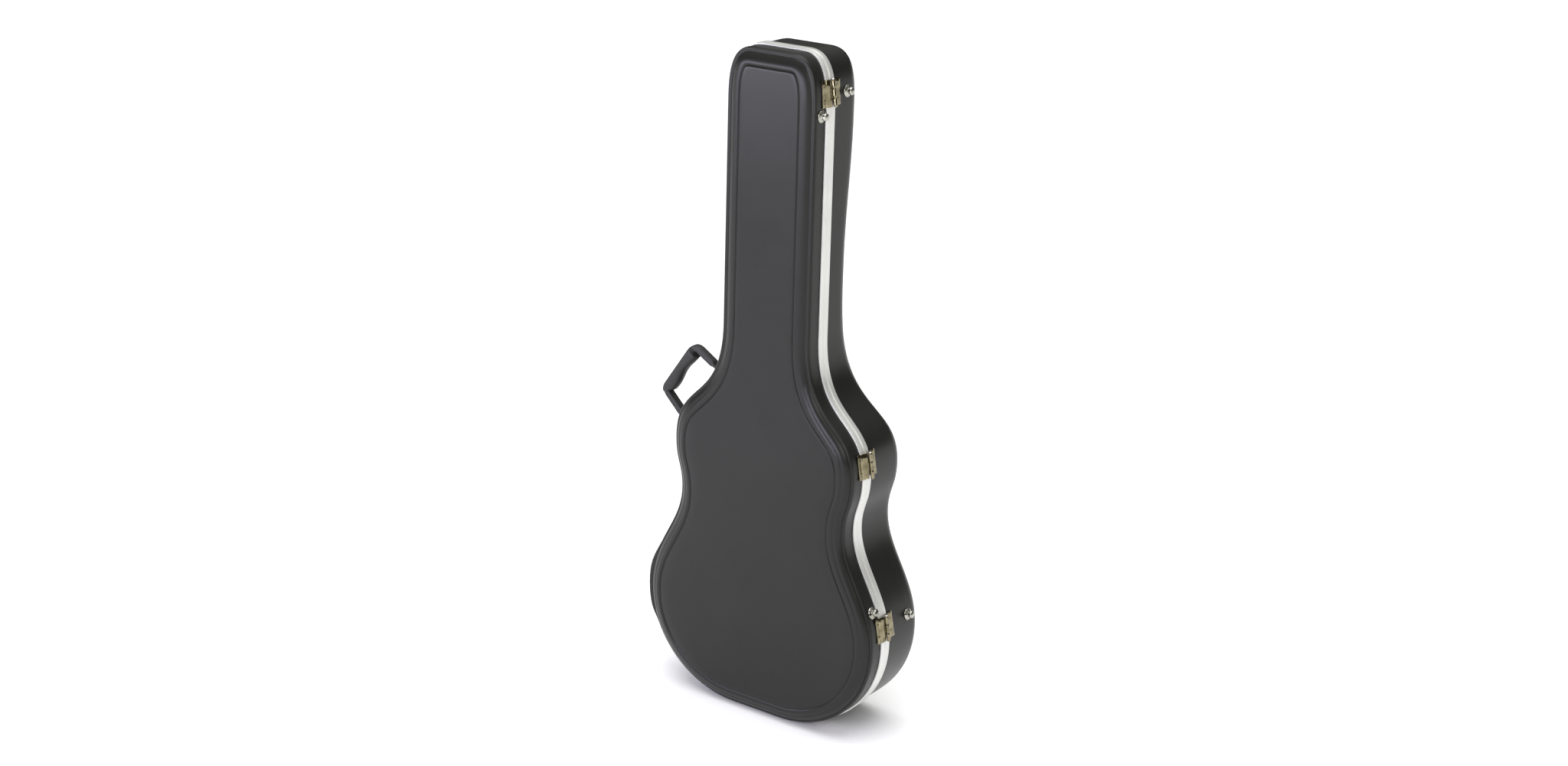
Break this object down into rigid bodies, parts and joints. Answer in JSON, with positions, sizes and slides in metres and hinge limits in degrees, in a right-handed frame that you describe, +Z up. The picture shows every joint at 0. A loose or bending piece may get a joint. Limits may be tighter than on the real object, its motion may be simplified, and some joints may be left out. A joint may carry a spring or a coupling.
{
  "type": "guitar case",
  "caption": "Hard moulded acoustic guitar case with a hinged lid, draw latches, folding handle, metal rims and a fitted padded inside with an accessory compartment.",
  "frame": {"origin": "on the floor at the standing end, in the plane of symmetry of the outline and on the plane where lid and base part", "axes": "+Z up the case's length from the wide end to the head end, +Y from the parting plane through the deep base, -Y through the lid, +X to the hinge side"},
  "size_m": [0.4599, 0.155, 1.07],
  "materials": {
    "shell_plastic": "satin moulded ABS with a fine grain",
    "rail_metal": "bright extruded",
    "plush": "short pile plush over padding",
    "hinge_metal": "nickel plated pressed steel",
    "latch_metal": "polished plate",
    "foot_chrome": "polished dome",
    "pin_steel": "bright wire",
    "lock_brass": "turned",
    "grip_plastic": "moulded with a fine grain",
    "tab_ribbon": "woven ribbon"
  },
  "bodies": {
    "base": {"base_shell": "shell_plastic", "base_rail": "rail_metal", "base_liner": "plush", "neck_cradle": "plush", "accessory_box": "plush", "headstock_pad": "plush", "compartment_hinge_pin": "pin_steel", "hinge_base_leaf_upper": "hinge_metal", "hinge_base_leaf_middle": "hinge_metal", "hinge_base_leaf_lower": "hinge_metal", "hinge_pin_upper": "pin_steel", "hinge_pin_middle": "pin_steel", "hinge_pin_lower": "pin_steel", "foot_base_head": "foot_chrome", "foot_base_bout": "foot_chrome", "latch_plate_head": "latch_metal", "latch_plate_neck": "latch_metal", "latch_plate_waist": "latch_metal", "latch_plate_bout": "latch_metal", "latch_pin_head": "pin_steel", "latch_pin_neck": "pin_steel", "latch_pin_waist": "pin_steel", "latch_pin_bout": "pin_steel", "handle_bracket_lower": "latch_metal", "handle_bracket_upper": "latch_metal", "handle_pin_lower": "pin_steel", "handle_pin_upper": "pin_steel"},
    "lid": {"lid_shell": "shell_plastic", "lid_rail": "rail_metal", "lid_liner": "plush", "hinge_lid_leaf_upper": "hinge_metal", "hinge_lid_leaf_middle": "hinge_metal", "hinge_lid_leaf_lower": "hinge_metal", "foot_lid_head": "foot_chrome", "foot_lid_bout": "foot_chrome", "latch_strike_head": "latch_metal", "latch_strike_neck": "latch_metal", "latch_strike_waist": "latch_metal", "latch_strike_bout": "latch_metal"},
    "handle": {"handle_grip": "grip_plastic"},
    "lever_head": {"latch_lever_head": "latch_metal"},
    "lever_neck": {"latch_lever_neck": "latch_metal"},
    "lever_waist": {"latch_lever_waist": "latch_metal"},
    "lever_bout": {"latch_lever_bout": "latch_metal"},
    "bail_head": {"latch_bail_head": "latch_metal"},
    "bail_neck": {"latch_bail_neck": "latch_metal"},
    "bail_waist": {"latch_bail_waist": "latch_metal"},
    "bail_bout": {"latch_bail_bout": "latch_metal"},
    "lock": {"lock_plug": "lock_brass"},
    "compartment": {"compartment_lid": "plush", "compartment_pull_tab": "tab_ribbon"}
  },
  "joints": [
    {"name": "lid_hinge", "type": "hinge", "parent": "base", "child": "lid", "pos_m": [0.17806, 0, 0.45533], "axis": [-0.161, 0, 0.987], "range_deg": [0, 165]},
    {"name": "handle_pivot", "type": "hinge", "parent": "base", "child": "handle", "pos_m": [-0.186, 0.02, 0.437], "axis": [0.5157, 0, 0.8567], "range_deg": [-60, 60]},
    {"name": "lever_head_pivot", "type": "hinge", "parent": "base", "child": "lever_head", "pos_m": [-0.08556, 0.0175, 0.95], "axis": [0.0014, 0, 1], "range_deg": [0, 150]},
    {"name": "lever_neck_pivot", "type": "hinge", "parent": "base", "child": "lever_neck", "pos_m": [-0.08591, 0.0175, 0.7], "axis": [0.0014, 0, 1], "range_deg": [0, 150]},
    {"name": "lever_waist_pivot", "type": "hinge", "parent": "base", "child": "lever_waist", "pos_m": [-0.16913, 0.0175, 0.38677], "axis": [-0.294, 0, 0.9558], "range_deg": [0, 150]},
    {"name": "lever_bout_pivot", "type": "hinge", "parent": "base", "child": "lever_bout", "pos_m": [-0.22648, 0.0175, 0.17233], "axis": [0.0377, 0, 0.9993], "range_deg": [0, 150]},
    {"name": "bail_head_pivot", "type": "hinge", "parent": "lever_head", "child": "bail_head", "pos_m": [-0.08596, 0.0265, 0.95], "axis": [-0.0014, 0, -1], "range_deg": [0, 195]},
    {"name": "bail_neck_pivot", "type": "hinge", "parent": "lever_neck", "child": "bail_neck", "pos_m": [-0.08631, 0.0265, 0.7], "axis": [-0.0014, 0, -1], "range_deg": [0, 195]},
    {"name": "bail_waist_pivot", "type": "hinge", "parent": "lever_waist", "child": "bail_waist", "pos_m": [-0.16951, 0.0265, 0.38665], "axis": [0.294, 0, -0.9558], "range_deg": [0, 195]},
    {"name": "bail_bout_pivot", "type": "hinge", "parent": "lever_bout", "child": "bail_bout", "pos_m": [-0.22688, 0.0265, 0.17234], "axis": [-0.0377, 0, -0.9993], "range_deg": [0, 195]},
    {"name": "lock_turn", "type": "hinge", "parent": "lever_bout", "child": "lock", "pos_m": [-0.23008, 0.0355, 0.17246], "axis": [-0.9993, 0, 0.0377], "range_deg": [0, 90]},
    {"name": "compartment_hinge", "type": "hinge", "parent": "base", "child": "compartment", "pos_m": [-0.055, 0.0187, 0.684], "axis": [0, 0, -1], "range_deg": [0, 22]}
  ],
  "couplings": [
    {"joint": "bail_head_pivot", "follows": "lever_head_pivot", "ratio": 1.3},
    {"joint": "bail_neck_pivot", "follows": "lever_neck_pivot", "ratio": 1.3},
    {"joint": "bail_waist_pivot", "follows": "lever_waist_pivot", "ratio": 1.3},
    {"joint": "bail_bout_pivot", "follows": "lever_bout_pivot", "ratio": 1.3}
  ]
}
